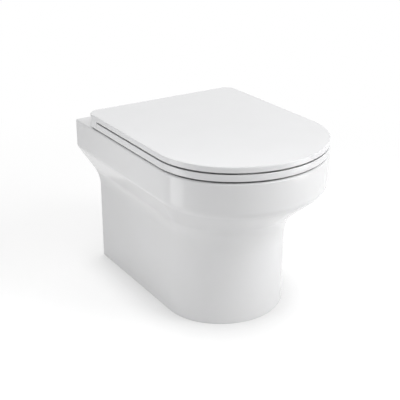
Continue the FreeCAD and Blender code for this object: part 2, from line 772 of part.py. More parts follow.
slab = new_body("RingSlab")
pad(slab, "Slab", outline(slab, "SlabPlan", rim_half, d.lid_setback, d.pan_length,
                          d.rim_nose_ratio, d.rim_corner_ratio, ring_low), d.ring_thickness)
ring_hole_front = d.pan_length - d.ring_hole_land
ring_hole_width = (ring_hole_front - d.ring_hole_back) * d.ring_hole_width_ratio
pocket(slab, "RingHole", oval(slab, "RingHolePlan", ring_hole_width / 2, ring_hole_front, d.ring_hole_back,
                              ring_top), d.ring_thickness)


def in_hole(b):
    return within(b, ring_hole_front, d.ring_hole_back)


round_edges(slab, "HoleRound", d.ring_hole_round, lambda b: level(ring_top)(b) and in_hole(b))
round_edges(slab, "HoleUnderRound", d.ring_round, lambda b: level(ring_low)(b) and in_hole(b))
round_edges(slab, "OuterRound", d.ring_round,
            lambda b: (level(ring_top)(b) or level(ring_low)(b)) and not in_hole(b))
ring_side = new_body("RingSide")
ring_seam = seam_y - d.seam_gap
pad(ring_side, "RingSidePad", side_profile(ring_side, "RingSideProfile", [
    (far_front, ring_low - over), (ring_seam, ring_low - over), (ring_seam, seam_low),
    (ring_seam - d.seam_lean, seam_high), (far_front, seam_high),
]), d.rim_width + over * 2, True)


def ring_arm(side, start):
    arm = box(f"{side}RingArm", start, start + d.ring_knuckle_length, ring_seam - d.seam_lean * 2, axis_y,
              axis_z - knuckle, ring_top - d.ring_round)
    return arm, rod(f"{side}RingKnuckle", knuckle, d.ring_knuckle_length, "x", start, axis_y, axis_z)


bush_bore = bush + d.running_gap
ring_bores = [rod("RightRingBore", bush_bore, ring_bush_length + over, "x",
                  ring_knuckle_end - ring_bush_length, axis_y, axis_z),
              rod("LeftRingBore", bush_bore, ring_bush_length + over, "x",
                  -ring_knuckle_end - over, axis_y, axis_z)]
seat_ring = cut("SeatRing", fuse("RingForm", common("RingBlank", slab, ring_side),
                                 *ring_arm("Right", ring_knuckle_start),
                                 *ring_arm("Left", -ring_knuckle_end)), *ring_bores)

# Lid: rounded plate with a skirt, deeper at the back, hollow below, with two knuckles on the pins.
lid_top = seam_high + d.lid_skirt
plate_low = lid_top - d.lid_plate
lid_back = -d.lid_setback
lid_form = new_body("LidForm")
pad(lid_form, "LidPad", outline(lid_form, "LidPlan", rim_half, d.lid_setback, d.pan_length,
                                d.rim_nose_ratio, d.rim_corner_ratio, seam_low), lid_top - seam_low)
round_edges(lid_form, "LidCorner", d.lid_corner, upright_at(lid_back))
round_edges(lid_form, "LidEdgeRound", d.lid_edge_round, level(lid_top))
lid_side = new_body("LidSide")
pad(lid_side, "LidSidePad", side_profile(lid_side, "LidSideProfile", [
    (far_front, seam_high), (seam_y - d.seam_lean, seam_high), (seam_y, seam_low),
    (lid_back, seam_low), (lid_back, lid_top + over), (far_front, lid_top + over),
]), d.rim_width + over * 2, True)
round_edges(lid_side, "LidHeelRound", d.lid_ear_round,
            lambda b: level(seam_low)(b) and within(b, -lid_back, -lid_back))
cavity = new_body("LidCavity")
cavity_back = d.lid_setback + d.lid_back_wall
pad(cavity, "CavityPad", outline(cavity, "CavityPlan", rim_half - d.lid_wall, cavity_back,
                                 d.pan_length - d.lid_wall, d.rim_nose_ratio, d.rim_corner_ratio,
                                 seam_low - over), plate_low - seam_low + over)
round_edges(cavity, "CavityCorner", d.lid_corner - d.lid_wall, upright_at(-cavity_back))
notch_start = ring_knuckle_start - d.notch_clearance
notch_end = hinge_x + d.post_flange_diameter / 2 + d.notch_clearance
notches = [box(f"{side}Notch", start, start + (notch_end - notch_start), -cavity_back - over, lid_back + over,
               seam_low - over, plate_low)
           for side, start in (("Right", notch_start), ("Left", -notch_end))]


def lid_boss(side, start):
    web = box(f"{side}LidWeb", start, start + d.lid_knuckle_length, axis_y - knuckle, axis_y + knuckle,
              axis_z, plate_low + over)
    return web, rod(f"{side}LidKnuckle", knuckle, d.lid_knuckle_length, "x", start, axis_y, axis_z)


lid_bores = [rod("RightLidBore", bush_bore, lid_bush_length + over, "x",
                 lid_knuckle_start - over, axis_y, axis_z),
             rod("LeftLidBore", bush_bore, lid_bush_length + over, "x",
                 -lid_knuckle_start - lid_bush_length, axis_y, axis_z)]
lid_shell = cut("LidShell", common("LidBlank", lid_form, lid_side), cavity, *notches)
lid = cut("Lid", fuse("LidWithBosses", lid_shell, *lid_boss("Right", lid_knuckle_start),
                      *lid_boss("Left", -lid_knuckle_end)), *lid_bores)

# Rubber stops under the ring and under the lid.


def stop(name, x, y, low, high):
    half = d.buffer_width / 2
    reach = (d.buffer_length - d.buffer_width) / 2
    middle = box(f"{name}Middle", x - half, x + half, -y - reach, -y + reach, low, high)
    ends = [rod(f"{name}End{i}", half, high - low, "z", x, end, low)
            for i, end in enumerate((-y - reach, -y + reach))]
    return fuse(name, middle, *ends)


def stops(name, places, low, high):
    right = [stop(f"{name}{i}", x, y, low, high) for i, (x, y) in enumerate(places)]
    return group(name, *right, *[mirrored(f"{name}Left{i}", one) for i, one in enumerate(right)])


ring_buffers = stops("RingBuffers", [
    (rim_half - d.ring_buffer_rear_inset, d.ring_buffer_rear_setback),
    (rim_half - d.ring_buffer_front_inset, d.pan_length - d.ring_buffer_front_land),
], deck + d.buffer_gap, ring_low)
lid_buffers = stops("LidBuffers", [
    (rim_half - d.lid_buffer_rear_inset, d.lid_buffer_rear_setback),
    (rim_half - d.lid_buffer_front_inset, d.pan_length - d.lid_buffer_front_land),
], ring_top + d.buffer_gap, plate_low)

# Sleeves in the stud holes and the seal of the flush pipe.


def sleeve(side, x):
    def level_rod(name, radius, length, y):
        return rod(f"{side}{name}", radius, length, "y", x, y, ZERO)

    inner = -d.bulkhead_thickness
    flange_low = inner - d.sleeve_flange_thickness
    tube = level_rod("SleeveTube", d.stud_hole_diameter / 2 - d.running_gap, d.bulkhead_thickness, inner)
    flange = level_rod("SleeveFlange", d.sleeve_flange_diameter / 2, d.sleeve_flange_thickness, flange_low)
    bore = level_rod("SleeveBore", d.stud_bore_diameter / 2,
                     d.bulkhead_thickness + d.sleeve_flange_thickness, flange_low)
    return cut(f"{side}Sleeve", fuse(f"{side}SleeveForm", tube, flange), bore)


stud_sleeves = group("StudSleeves", sleeve("Left", -stud_x), sleeve("Right", stud_x))
seal_start = -d.inlet_depth
inlet_seal = cut("InletSeal",
                 rod("SealTube", d.inlet_bore / 2 - d.running_gap, d.seal_length, "y",
                     ZERO, seal_start, d.inlet_rise),
                 rod("SealBore", d.pipe_diameter / 2, d.seal_length, "y", ZERO, seal_start, d.inlet_rise))

nodes = {
    "pan_shell": pan_shell,
    "pan_deck": pan_deck,
    "pan_collar": pan_collar,
    "pan_bowl": pan_bowl,
    "pan_throat": pan_throat,
    "pan_sump": pan_sump,
    "pan_trapway": pan_trapway,
    "pan_outlet": pan_outlet,
    "pan_inlet": pan_inlet,
    "pan_bulkhead": pan_bulkhead,
    "left_hinge_post": left_post,
    "right_hinge_post": right_post,
    "post_gaskets": post_gaskets,
    "hinge_pins": hinge_pins,
    "hinge_studs": hinge_studs,
    "hole_grommets": hole_grommets,
    "fixing_washers": fixing_washers,
    "wing_nuts": wing_nuts,
    "stud_sleeves": stud_sleeves,
    "inlet_seal": inlet_seal,
    "seat_ring": seat_ring,
    "ring_buffers": ring_buffers,
    "ring_damper": ring_damper,
    "ring_bush": ring_bush,
    "lid": lid,
    "lid_buffers": lid_buffers,
    "lid_damper": lid_damper,
    "lid_bush": lid_bush,
}
doc.recompute()
for thing in doc.Objects:
    if "Invalid" in thing.State or "Error" in thing.State:
        raise RuntimeError(f"{thing.Name}: {thing.State}")
os.makedirs("parts", exist_ok=True)
for label, thing in nodes.items():
    thing.Label = label
    if thing.Shape.isNull() or not thing.Shape.isValid():
        raise RuntimeError(f"{label}: shape is null or not valid")
    thing.Shape.exportStep(f"parts/{label}.step")
    size = thing.Shape.optimalBoundingBox()
    print(label, len(thing.Shape.Solids), round(thing.Shape.Volume), [round(v, 2) for v in (
        size.XMin, size.XMax, size.YMin, size.YMax, size.ZMin, size.ZMax)])
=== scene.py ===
# %% [markdown]
# # Wall hung toilet: looks
# The construction is loaded as a fixed frame in metres: +Z up, the wall on y = 0 and the front towards
# -Y. The origin lies midway between the two wall studs. Every new surface below is laid out in
# millimetres on that frame, rides on one of the bodies (pan, ring, lid) and stands in for the plain
# node of that piece.
# %% Load the frame
import json
import math
import bpy
import numpy as np
from mathutils import Matrix


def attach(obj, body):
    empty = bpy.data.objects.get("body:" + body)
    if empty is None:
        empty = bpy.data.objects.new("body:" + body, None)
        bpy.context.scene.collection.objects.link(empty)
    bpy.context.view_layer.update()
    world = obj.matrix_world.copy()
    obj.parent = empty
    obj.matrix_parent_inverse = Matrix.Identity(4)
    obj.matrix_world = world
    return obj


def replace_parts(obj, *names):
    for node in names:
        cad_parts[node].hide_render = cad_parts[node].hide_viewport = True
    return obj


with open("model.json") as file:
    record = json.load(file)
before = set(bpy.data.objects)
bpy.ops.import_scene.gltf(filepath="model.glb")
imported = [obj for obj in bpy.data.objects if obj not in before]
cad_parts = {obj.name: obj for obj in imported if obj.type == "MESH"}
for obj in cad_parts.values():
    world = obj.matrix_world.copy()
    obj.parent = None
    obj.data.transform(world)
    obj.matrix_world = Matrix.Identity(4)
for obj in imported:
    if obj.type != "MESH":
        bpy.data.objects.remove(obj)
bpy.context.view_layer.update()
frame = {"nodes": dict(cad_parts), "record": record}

# %% [markdown]
# ## Building blocks
# A piece is a grid of points with quads between neighbours. Closing the grid in one direction makes a
# tube, closing it in both makes a ring, and open ends are shut with one polygon each. The signed volume
# tells whether the quads face outwards; if not, they are all turned round.
# %% Grids and pieces
CREASE = 32  # degrees; edges that bend by more stay sharp


def grid(rows, columns, wrap_rows=False, wrap_columns=False):
    """Quads between neighbouring points of a grid stored row by row."""
    r = np.arange(rows if wrap_rows else rows - 1)[:, None]
    c = np.arange(columns if wrap_columns else columns - 1)[None, :]
    up, on = (r + 1) % rows, (c + 1) % columns
    quads = [r * columns + c, r * columns + on, up * columns + on, up * columns + c]
    return np.stack(quads, axis=-1).reshape(-1, 4).tolist()


def outwards(points, faces):
    """Turn every face round if the volume inside them comes out negative."""
    corners = np.array([(face[0], face[i], face[i + 1])
                        for face in faces for i in range(1, len(face) - 1)])
    a, b, c = points[corners[:, 0]], points[corners[:, 1]], points[corners[:, 2]]
    volume = np.einsum("ij,ij->i", a, np.cross(b, c)).sum()
    return [face[::-1] for face in faces] if volume < 0 else faces


def shell(points, faces):
    """One closed surface: its points in millimetres and its faces, turned outwards."""
    points = np.asarray(points, float).reshape(-1, 3)
    return points, outwards(points - points.mean(axis=0), faces)


def piece(name, shells, body, slot):
    """A mesh of one or more closed shells, in the finish of its slot, that rides on a body."""
    points = np.concatenate([p for p, _ in shells]) / 1000
    starts = np.cumsum([0] + [len(p) for p, _ in shells]).tolist()
    faces = [[i + start for i in face] for start, (_, fs) in zip(starts, shells) for face in fs]
    mesh = bpy.data.meshes.new(name)
    mesh.from_pydata(points.tolist(), [], faces)
    mesh.validate()
    mesh.polygons.foreach_set("use_smooth", np.ones(len(mesh.polygons), bool))
    mesh.set_sharp_from_angle(angle=math.radians(CREASE))
    mesh.materials.append(FINISH[slot])
    obj = bpy.data.objects.new(name, mesh)
    bpy.context.scene.collection.objects.link(obj)
    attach(obj, body)
    print(name, len(mesh.vertices), "points", len(mesh.polygons), "faces")
    return obj


print("building blocks: grid, shell, piece")

# %% [markdown]
# ## Shared effects
# Two effects serve every finish: a swell that bends the surface a little, and a slow drift of a value
# between two limits. Both are noise on object coordinates, so they stay with the piece when the seat
# turns. Each is one node group, placed in every material with its own numbers.
# %% Shared effects


def group(name, inputs, outputs):
    """A node group with its sockets, ready to be filled."""
    tree = bpy.data.node_groups.new(name, "ShaderNodeTree")
    for label, kind, value in inputs:
        socket = tree.interface.new_socket(label, in_out="INPUT", socket_type=kind)
        socket.default_value = value
    for label, kind in outputs:
        tree.interface.new_socket(label, in_out="OUTPUT", socket_type=kind)
    return tree, tree.nodes.new("NodeGroupInput"), tree.nodes.new("NodeGroupOutput")


def link(tree, *pairs):
    """Join each output to its input."""
    for source, target in pairs:
        tree.links.new(source, target)


def swell_group():
    """Surface normal bent by soft noise of a given size (per metre) and height (metres)."""
    tree, inlet, outlet = group(
        "surface swell",
        [("Scale", "NodeSocketFloat", 60), ("Height", "NodeSocketFloat", 0.0001)],
        [("Normal", "NodeSocketVector")])
    place = tree.nodes.new("ShaderNodeTexCoord")
    noise = tree.nodes.new("ShaderNodeTexNoise")
    noise.inputs["Detail"].default_value = 1.5
    bump = tree.nodes.new("ShaderNodeBump")
    bump.inputs["Strength"].default_value = 1
    link(tree,
         (place.outputs["Object"], noise.inputs["Vector"]),
         (inlet.outputs["Scale"], noise.inputs["Scale"]),
         (noise.outputs["Fac"], bump.inputs["Height"]),
         (inlet.outputs["Height"], bump.inputs["Distance"]),
         (bump.outputs["Normal"], outlet.inputs["Normal"]))
    return tree


def drift_group():
    """Value that wanders between two limits over the surface, for small changes of tone or gloss."""
    tree, inlet, outlet = group(
        "slow drift",
        [("Scale", "NodeSocketFloat", 9), ("From", "NodeSocketFloat", 0), ("To", "NodeSocketFloat", 1)],
        [("Value", "NodeSocketFloat")])
    place = tree.nodes.new("ShaderNodeTexCoord")
    noise = tree.nodes.new("ShaderNodeTexNoise")
    noise.inputs["Detail"].default_value = 3
    spread = tree.nodes.new("ShaderNodeMapRange")
    spread.inputs["From Min"].default_value = 0.3
    spread.inputs["From Max"].default_value = 0.7
    link(tree,
         (place.outputs["Object"], noise.inputs["Vector"]),
         (inlet.outputs["Scale"], noise.inputs["Scale"]),
         (noise.outputs["Fac"], spread.inputs["Value"]),
         (inlet.outputs["From"], spread.inputs["To Min"]),
         (inlet.outputs["To"], spread.inputs["To Max"]),
         (spread.outputs["Result"], outlet.inputs["Value"]))
    return tree


SWELL, DRIFT = swell_group(), drift_group()
print("effects:", SWELL.name, "and", DRIFT.name)

# %% [markdown]
# ## Finishes
# The pan is vitreous china under a thick clear glaze: very smooth, with a faint swell where the glaze
# pooled as it ran in the kiln. The seat is pressed thermoset, a little less glossy and quite even. Hinge
# posts are chromed, studs and pins are plain steel, and the fixings, stops and bearings are rubber,
# nylon and dark moulded plastic. All follow one recipe with other numbers: two tones, two limits of
# roughness, and the size and height of the swell.
# %% Materials
SHEEN_GRAIN = 2.3  # the gloss changes over smaller patches than the tone


def finish(name, pale, deep, rough, swell, metal=0.0, grain=9):
    """A finish whose colour drifts between two tones and whose roughness drifts between two values."""
    material = bpy.data.materials.new(name)
    material.use_nodes = True
    tree = material.node_tree
    surface = tree.nodes["Principled BSDF"]
    surface.inputs["Metallic"].default_value = metal
    surface.inputs["IOR"].default_value = 1.5
    tone, sheen, wave = (tree.nodes.new("ShaderNodeGroup") for _ in range(3))
    tone.node_tree = sheen.node_tree = DRIFT
    wave.node_tree = SWELL
    tone.inputs["Scale"].default_value = grain
    sheen.inputs["Scale"].default_value = grain * SHEEN_GRAIN
    sheen.inputs["From"].default_value, sheen.inputs["To"].default_value = rough
    wave.inputs["Scale"].default_value, wave.inputs["Height"].default_value = swell
    colour = tree.nodes.new("ShaderNodeMix")
    colour.data_type = "RGBA"
    colour.inputs["A"].default_value = (*pale, 1)
    colour.inputs["B"].default_value = (*deep, 1)
    link(tree,
         (tone.outputs["Value"], colour.inputs["Factor"]),
         (colour.outputs["Result"], surface.inputs["Base Color"]),
         (sheen.outputs["Value"], surface.inputs["Roughness"]),
         (wave.outputs["Normal"], surface.inputs["Normal"]))
    return material


FINISH = {
    "glaze": finish("glaze", (0.855, 0.857, 0.865), (0.842, 0.843, 0.847), (0.05, 0.09), (38, 0.00010)),
    "seat": finish("seat thermoset", (0.862, 0.864, 0.874), (0.852, 0.854, 0.862),
                   (0.14, 0.20), (90, 0.00002)),
    "chrome": finish("chrome", (0.80, 0.81, 0.82), (0.74, 0.75, 0.77),
                     (0.04, 0.12), (200, 0.00002), metal=1),
    "steel": finish("steel", (0.60, 0.60, 0.60), (0.50, 0.50, 0.51),
                    (0.28, 0.42), (900, 0.00003), metal=1, grain=40),
    "rubber": finish("rubber", (0.030, 0.030, 0.030), (0.045, 0.044, 0.043),
                     (0.55, 0.75), (700, 0.00006), grain=30),
    "buffer": finish("buffer", (0.62, 0.62, 0.61), (0.55, 0.55, 0.54),
                     (0.45, 0.60), (600, 0.00006), grain=30),
    "nylon": finish("nylon", (0.72, 0.72, 0.69), (0.66, 0.66, 0.62),
                    (0.35, 0.50), (500, 0.00004), grain=25),
    "damper": finish("damper", (0.050, 0.053, 0.056), (0.070, 0.073, 0.076),
                     (0.38, 0.52), (500, 0.00005), grain=25),
}
print(len(FINISH), "finishes")

# %% [markdown]
# ## Pieces taken over from the construction
# The bowl, the trapway and the rest of the inner ceramic keep their exact solids. Their meshes are loose
# triangles, so a small modifier joins the corners and shades across every edge that bends by less than a
# set angle. Every node gets the finish of its slot here; those that a new piece replaces are hidden later.
# %% Smooth shading for the taken-over nodes
WELD, BEND = 0.000002, 30  # metres between corners to be joined, degrees


def smoothing():
    """Join loose corners, then keep only edges that bend by more than the set angle sharp."""
    tree = bpy.data.node_groups.new("join and smooth", "GeometryNodeTree")
    tree.interface.new_socket("Geometry", in_out="INPUT", socket_type="NodeSocketGeometry")
    tree.interface.new_socket("Geometry", in_out="OUTPUT", socket_type="NodeSocketGeometry")
    inlet, outlet = tree.nodes.new("NodeGroupInput"), tree.nodes.new("NodeGroupOutput")
    weld = tree.nodes.new("GeometryNodeMergeByDistance")
    weld.inputs["Distance"].default_value = WELD
    faces = tree.nodes.new("GeometryNodeSetShadeSmooth")
    edges = tree.nodes.new("GeometryNodeSetShadeSmooth")
    edges.domain = "EDGE"
    edges.inputs["Shade Smooth"].default_value = False
    angle = tree.nodes.new("GeometryNodeInputMeshEdgeAngle")
    bent = tree.nodes.new("FunctionNodeCompare")
    bent.inputs["B"].default_value = math.radians(BEND)
    link(tree,
         (inlet.outputs[0], weld.inputs["Geometry"]),
         (weld.outputs["Geometry"], faces.inputs["Geometry"]),
         (faces.outputs["Geometry"], edges.inputs["Geometry"]),
         (angle.outputs["Unsigned Angle"], bent.inputs["A"]),
         (bent.outputs["Result"], edges.inputs["Selection"]),
         (edges.outputs["Geometry"], outlet.inputs[0]))
    return tree


SMOOTH = smoothing()
slots = {sub["node"]: sub["material_slot"] for sub in frame["record"]["subparts"]}
for name, node in frame["nodes"].items():
    node.data.materials.clear()
    node.data.materials.append(FINISH[slots[name]])
    node.modifiers.new("join and smooth", "NODES").node_group = SMOOTH
print(len(slots), "nodes in the finish of their slot")

# %% [markdown]
# ## The D outline
# Rim, foot, seat and lid share one kind of plan: straight sides, two corner arcs and a flatter nose arc
# that meet without a kink. A mould maker would strike it with three compasses. Keeping the arc centres
# and taking an inset off the radii gives a parallel outline, which is what every rounded edge needs.
# %% Plan curves
SIDE_POINTS, CORNER_POINTS, NOSE_POINTS = 28, 44, 30


def columns(*values):
    """Numbers or arrays as float columns, one row for each height."""
    return [np.reshape(value, (-1, 1)).astype(float) for value in values]


def d_arcs(half, length, nose_ratio, corner_ratio, inset=0.0):
    """Right-hand corner arc and nose arc of a D, from the end of the straight side to the nose."""
    half, length, nose_ratio, corner_ratio, inset = columns(
        half, length, nose_ratio, corner_ratio, inset)
    nose, corner = half * nose_ratio, half * corner_ratio
    shift = ((half - corner) ** 2 - (nose - corner) ** 2) / (nose - corner) / 2
    side, bow = length - nose, nose + shift
    meet = np.arctan2(-shift, half - corner)
    a = np.linspace(0, 1, CORNER_POINTS, endpoint=False)[None, :] * meet
    n = meet + np.linspace(0, 1, NOSE_POINTS)[None, :] * (-np.pi / 2 - meet)
    x = np.hstack([half - corner + (corner - inset) * np.cos(a), (bow - inset) * np.cos(n)])
    y = np.hstack([-side + (corner - inset) * np.sin(a), shift - side + (bow - inset) * np.sin(n)])
    return x, y


def d_plan(half, length, nose_ratio, corner_ratio, inset=0.0, back=0.0):
    """The open D from the right end of its back round the nose to the left end."""
    x, y = d_arcs(half, length, nose_ratio, corner_ratio, inset)
    t = np.linspace(0, 1, SIDE_POINTS, endpoint=False)[None, :]
    (back,) = columns(back)
    x = np.hstack([x[:, :1] + 0 * t, x])
    y = np.hstack([-back + (y[:, :1] + back) * t, y])
    return np.hstack([x, -x[:, -2::-1]]), np.hstack([y, y[:, -2::-1]])


# Half the width, the length, and the radii of nose and corner as shares of half the width.
RIM = (180.0, 508.5, 0.903, 0.848)
FOOT = (128.5, 418.0, 0.951, 0.9185)
print("outline points:", d_plan(*RIM)[0].shape[1])

# %% [markdown]
# ## Pan wall
# Slip cast china has no flat spot between foot and rim: the foot rises straight, a wide waist arc leads
# into a slope, and a tighter arc ends the slope at the upright rim band. The waist sits lower at the nose
# than at the sides. The wall is one closed cross-section carried round the D, with a softened foot edge,
# a rounded rim and the hollow behind it. Inside the rim a narrow land falls towards the bowl, except at
# the hinges, where the top is level.
# %% Pan wall
UNDER, DECK, WALL = -252.0, 85.0, 11
SIDE_WAIST, SIDE_BAND, SIDE_ROUND = 198.8, 277.3, 82  # two heights above the underside, a radius
NOSE_WAIST, NOSE_BAND, NOSE_ROUND = 189.8, 271.8, 102
BAND_ROUND, FOOT_ROUND, RIM_ROUND, LAND_FALL = 20.3, 1.6, 4.0, 3.0
FALL_START, FALL_RUN = -95, 60


def flare(height, waist, band, waist_round, reach):
    """How far out the wall stands at a height, 0 on the foot and 1 on the band: arc, slope, arc."""
    lean = math.atan2(reach, band - waist)
    low, high = waist - waist_round * math.tan(lean / 2), band + BAND_ROUND * math.tan(lean / 2)
    rise = np.clip(height - low, 0, high - low)
    drop = high - low - rise
    arc = (waist_round - np.sqrt(np.maximum(waist_round ** 2 - rise ** 2, 0))) / reach
    cap = 1 - (BAND_ROUND - np.sqrt(np.maximum(BAND_ROUND ** 2 - drop ** 2, 0))) / reach
    slope = (height - waist) / (band - waist)
    in_arc, in_cap = rise < waist_round * math.sin(lean), drop < BAND_ROUND * math.sin(lean)
    return np.select([in_arc, in_cap], [arc, cap], slope)


def quarter(radius, count):
    """Insets and heights of a quarter round, from its foot on the wall to its top."""
    a = np.linspace(0, np.pi / 2, count)
    return radius * (1 - np.cos(a)), radius * np.sin(a)


def mix(low, high, share):
    """The value that lies a share of the way from low to high."""
    return low + (high - low) * share


def fall(y):
    """Share of the inward fall: none at the hinges, all of it from the back of the bowl forward."""
    share = np.clip((FALL_START - y) / FALL_RUN, 0, 1)
    return share * share * (3 - 2 * share)


foot_inset, foot_rise = quarter(FOOT_ROUND, 6)
rim_inset, rim_rise = quarter(RIM_ROUND, 10)
# The rows lie close together only where the wall bends.
straight = UNDER + np.concatenate([np.linspace(8, 120, 8), np.linspace(126, 300, 88), [307, 323]])
wall_z = np.concatenate([UNDER + FOOT_ROUND - foot_rise[::-1], straight, DECK - RIM_ROUND + rim_rise])
wall_inset = np.concatenate([foot_inset[::-1], 0 * straight, rim_inset])
out = flare(wall_z - UNDER, SIDE_WAIST, SIDE_BAND, SIDE_ROUND, RIM[0] - FOOT[0])
ahead = flare(wall_z - UNDER, NOSE_WAIST, NOSE_BAND, NOSE_ROUND, RIM[1] - FOOT[1])
outer = d_plan(mix(FOOT[0], RIM[0], out), mix(FOOT[1], RIM[1], ahead),
               mix(FOOT[2], RIM[2], out), mix(FOOT[3], RIM[3], out), wall_inset)
core_z = UNDER + np.array([DECK - UNDER, 307, SIDE_BAND, 238, SIDE_WAIST, 100, 0])
core = np.clip((core_z - UNDER - SIDE_WAIST) / (SIDE_BAND - SIDE_WAIST), 0, 1)
inner = d_plan(mix(FOOT[0], RIM[0], core) - WALL, mix(FOOT[1], RIM[1], core) - WALL,
               mix(FOOT[2], RIM[2], core), mix(FOOT[3], RIM[3], core))
x, y = np.vstack([outer[0], inner[0]]), np.vstack([outer[1], inner[1]])
z = np.repeat(np.concatenate([wall_z, core_z])[:, None], x.shape[1], axis=1)
land = len(wall_z)
z[land] -= LAND_FALL * fall(y[land])
rows, count = x.shape
right_end = np.arange(rows) * count
left_end = (right_end + count - 1)[::-1]
wall_faces = grid(rows, count, wrap_rows=True) + [right_end.tolist(), left_end.tolist()]
pan_wall = piece("pan_wall", [shell(np.stack([x, y, z], axis=-1), wall_faces)], "pan", "glaze")
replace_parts(pan_wall, "pan_shell")

# %% [markdown]
# ## Simple closed forms
# Most small pieces are either turned on a lathe or moulded as a block with rounded edges. A turned piece
# is a profile of radius and length carried round an axis. A moulded block is a stack of outlines, drawn
# in a little at both ends so that its edges are round.
# %% Turned and stacked forms
EDGE_POINTS, ARC_POINTS = 5, 8


def aim(points, axis, centre):
    """Turn points given along +Z so that they run along +X, +Y or +Z, then move them to a centre."""
    order = {"x": [2, 0, 1], "y": [1, 2, 0], "z": [0, 1, 2]}[axis]
    return points[..., order] + np.array(centre, float)


def turned(profile, axis, centre, count=48):
    """Surface of revolution of a closed profile of (radius, length) pairs."""
    r, along = np.array(profile, float).T[:, :, None]
    a = np.linspace(0, 2 * np.pi, count, endpoint=False)[None, :]
    points = np.stack([r * np.cos(a), r * np.sin(a), along + 0 * a], axis=-1)
    return shell(aim(points, axis, centre), grid(len(r), count, True, True))


def tube(outer, inner, start, end, bevel):
    """Profile of a plain tube with bevelled edges."""
    return [(outer - bevel, start), (outer, start + bevel), (outer, end - bevel), (outer - bevel, end),
            (inner + bevel, end), (inner, end - bevel), (inner, start + bevel), (inner + bevel, start)]


def stack(x, y, z, centre=(0, 0, 0)):
    """Closed outlines one above the other, shut at both ends with a polygon."""
    rows, count = x.shape
    points = np.stack([x, y, z + 0 * x], axis=-1)
    ends = [list(range(count)), list(range((rows - 1) * count, rows * count))[::-1]]
    return shell(aim(points, "z", centre), grid(rows, count, wrap_columns=True) + ends)


def block(x_range, y_range, z_range, corner, edge):
    """Rounded box: four corner arcs in plan and a quarter round along the top and bottom edges."""
    inset, rise = quarter(edge, EDGE_POINTS)
    (inset,) = columns(np.concatenate([inset[::-1], inset]))
    (z,) = columns(np.concatenate([z_range[0] + edge - rise[::-1], z_range[1] - edge + rise]))
    a = np.linspace(0, np.pi / 2, ARC_POINTS)[None, :] + np.arange(4)[:, None] * np.pi / 2
    side = np.array([1, -1, -1, 1])[:, None] * np.ones((1, ARC_POINTS))
    end = np.array([1, 1, -1, -1])[:, None] * np.ones((1, ARC_POINTS))
    mid_x, mid_y = np.mean(x_range), np.mean(y_range)
    half_x, half_y = np.ptp(x_range) / 2 - corner, np.ptp(y_range) / 2 - corner
    x = mid_x + (side * half_x).reshape(1, -1) + (corner - inset) * np.cos(a).reshape(1, -1)
    y = mid_y + (end * half_y).reshape(1, -1) + (corner - inset) * np.sin(a).reshape(1, -1)
    return stack(x, y, z)


print("simple forms: turned, stack, block")

# %% [markdown]
# ## Seat ring
# The ring is a pressed slab with crisp outer edges, a generously rounded hole and a back face that leans
# to follow the seam of the lid. Its top is dished: it falls inwards, steepest at the outer edge, which
# keeps the gap under the lid dark. One cross-section runs right round it: up the outside, across the top,
# down the hole and back underneath. Two arms reach from the back face to the hinge pins and end in bored
# knuckles.
# %% Seat ring
RING_LOW, RING_TOP, SEAM_LOW, SEAM_HIGH = 89.2, 102.2, 89.5, 105.5
RING_BACK, SEAM_STEEP = 95, 4
AXIS_Y, AXIS_Z = -64.5, 99.0
RING_ROUND, HOLE_ROUND, DISH = 1.0, 5.0, 6.0
HOLE = (-312.75, 112.0, 132.75)  # middle in y, half the width, half the length
OVAL_END = 0.88                  # radius of an oval's ends as a share of half its width
BACK_POINTS, OVAL_POINTS = 40, 200
ACROSS = np.array([0.03, 0.07, 0.12, 0.18, 0.25, 0.35, 0.5, 0.65, 0.8, 0.9])


def with_back(x, y, back):
    """The open D shut by a straight back at a distance from the wall."""
    t = np.linspace(-1, 1, BACK_POINTS + 2)[None, 1:-1]
    return np.hstack([x, x[:, :1] * t]), np.hstack([y, 0 * t - back])


def ring_outer(inset, z):
    """Closed outline of the ring: the D, shut by the leaning back face."""
    (height,) = columns(z)
    back = RING_BACK + np.maximum(height - SEAM_LOW, 0) / SEAM_STEEP
    return with_back(*d_plan(*RIM, inset, back), back)


def oval(angle, half, reach, grow):
    """Distance from the centre of a four-arc oval to its edge, which may be grown outwards."""
    end = OVAL_END * half
    flank = (half ** 2 + (reach - end) ** 2 - end ** 2) / (half - end) / 2
    meet = math.atan2(reach - end, flank - half)
    a, b = np.linspace(0, meet, OVAL_POINTS), np.linspace(meet, np.pi / 2, OVAL_POINTS)
    x = np.concatenate([half - flank + (flank + grow) * np.cos(a), (end + grow) * np.cos(b)])
    y = np.concatenate([(flank + grow) * np.sin(a), reach - end + (end + grow) * np.sin(b)])
    folded = np.arctan2(np.abs(np.sin(angle)), np.abs(np.cos(angle)))
    return np.interp(folded, np.arctan2(y, x), np.hypot(x, y))


def opening(x, y, middle, half, reach, grow):
    """Outlines of an oval opening, one for each growth, with a point on the bearing of each given one."""
    bearing = np.arctan2(y[0] - middle, x[0])
    far = np.stack([oval(bearing, half, reach, one) for one in grow])
    return far * np.cos(bearing), middle + far * np.sin(bearing)


def dished(share):
    """How far a top has fallen, part of the way from its outer edge to its opening."""
    return 1 - (1 - share) ** 4


def blended(first, last, shares):
    """Rows between the last row of one outline and the first row of the next."""
    return tuple(np.vstack([mix(a[-1], b[0], share) for share in shares]) for a, b in zip(first, last))


